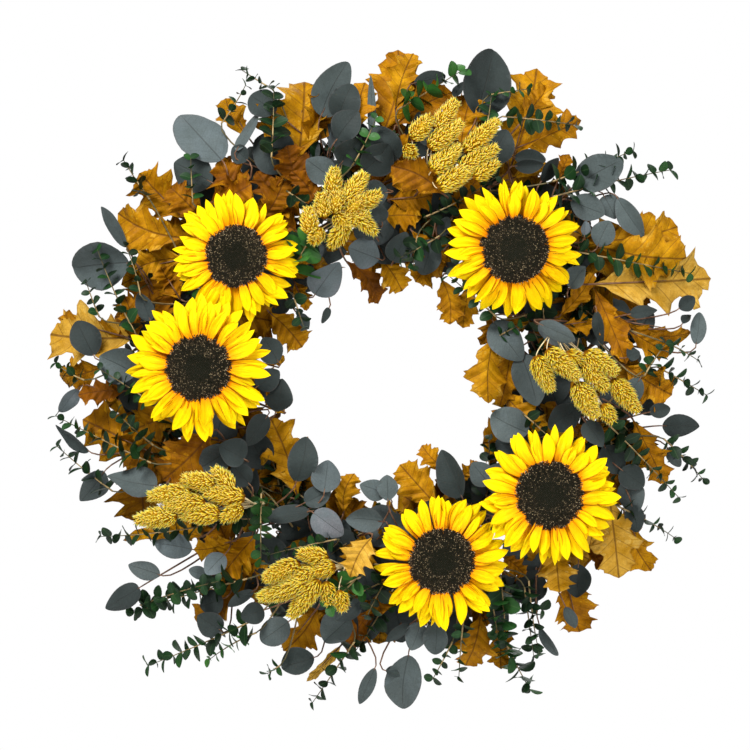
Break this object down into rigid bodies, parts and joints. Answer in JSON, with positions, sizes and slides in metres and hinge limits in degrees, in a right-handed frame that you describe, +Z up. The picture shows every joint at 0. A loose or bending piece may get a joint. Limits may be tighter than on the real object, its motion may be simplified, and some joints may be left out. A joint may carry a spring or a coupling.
{
  "type": "harvest door wreath",
  "caption": "Round door wreath of sunflowers, seed heads, oak, eucalyptus and small-leaf sprays on a wire frame, hung from a swinging wire loop.",
  "frame": {"origin": "the underside of the hanging loop's eye at its top, where it rests on the door hook", "axes": "+Z up, the wreath's face looks along -Y, and the door is behind it at +Y"},
  "size_m": [0.613, 0.1258, 0.609],
  "materials": {
    "loop_wire": "bare galvanised wire, slightly dull",
    "frame_wire": "dark green enamelled wire, satin",
    "binding_wire": "thin green floral wire, satin",
    "oak_leaf": "preserved leaf, golden ochre with brown veins, satin",
    "eucalyptus_leaf": "preserved leaf, slate grey, matt",
    "green_leaf": "preserved leaf, dark green, satin",
    "seed_head": "dyed seed head, yellow, rough scales",
    "sunflower_petal": "bright yellow, orange towards the foot, satin",
    "sunflower_disc": "dark brown florets, rough",
    "sunflower_calyx": "green bracts and stem, matt"
  },
  "bodies": {
    "hanger": {"hanger_loop": "loop_wire"},
    "wreath": {"wreath_frame": "frame_wire", "binding_wire_1": "binding_wire", "binding_wire_2": "binding_wire", "binding_wire_3": "binding_wire", "binding_wire_4": "binding_wire", "binding_wire_5": "binding_wire", "binding_wire_6": "binding_wire", "binding_wire_7": "binding_wire", "binding_wire_8": "binding_wire", "oak_spray_1": "oak_leaf", "oak_spray_2": "oak_leaf", "oak_spray_3": "oak_leaf", "oak_spray_4": "oak_leaf", "oak_spray_5": "oak_leaf", "oak_spray_6": "oak_leaf", "oak_spray_7": "oak_leaf", "oak_spray_8": "oak_leaf", "oak_spray_9": "oak_leaf", "oak_spray_10": "oak_leaf", "eucalyptus_spray_1": "eucalyptus_leaf", "eucalyptus_spray_2": "eucalyptus_leaf", "eucalyptus_spray_3": "eucalyptus_leaf", "eucalyptus_spray_4": "eucalyptus_leaf", "eucalyptus_spray_5": "eucalyptus_leaf", "eucalyptus_spray_6": "eucalyptus_leaf", "eucalyptus_spray_7": "eucalyptus_leaf", "eucalyptus_spray_8": "eucalyptus_leaf", "eucalyptus_spray_9": "eucalyptus_leaf", "eucalyptus_spray_10": "eucalyptus_leaf", "eucalyptus_spray_11": "eucalyptus_leaf", "eucalyptus_spray_12": "eucalyptus_leaf", "green_sprig_1": "green_leaf", "green_sprig_2": "green_leaf", "green_sprig_3": "green_leaf", "green_sprig_4": "green_leaf", "green_sprig_5": "green_leaf", "green_sprig_6": "green_leaf", "green_sprig_7": "green_leaf", "green_sprig_8": "green_leaf", "seed_bunch_1": "seed_head", "seed_bunch_2": "seed_head", "seed_bunch_3": "seed_head", "seed_bunch_4": "seed_head", "seed_bunch_5": "seed_head", "sunflower_1_petals": "sunflower_petal", "sunflower_1_disc": "sunflower_disc", "sunflower_1_stem": "sunflower_calyx", "sunflower_2_petals": "sunflower_petal", "sunflower_2_disc": "sunflower_disc", "sunflower_2_stem": "sunflower_calyx", "sunflower_3_petals": "sunflower_petal", "sunflower_3_disc": "sunflower_disc", "sunflower_3_stem": "sunflower_calyx", "sunflower_4_petals": "sunflower_petal", "sunflower_4_disc": "sunflower_disc", "sunflower_4_stem": "sunflower_calyx", "sunflower_5_petals": "sunflower_petal", "sunflower_5_disc": "sunflower_disc", "sunflower_5_stem": "sunflower_calyx"}
  },
  "joints": [
    {"name": "wreath_swing", "type": "hinge", "parent": "hanger", "child": "wreath", "pos_m": [0, 0, -0.0282], "axis": [-1, 0, 0], "range_deg": [0, 20]}
  ]
}
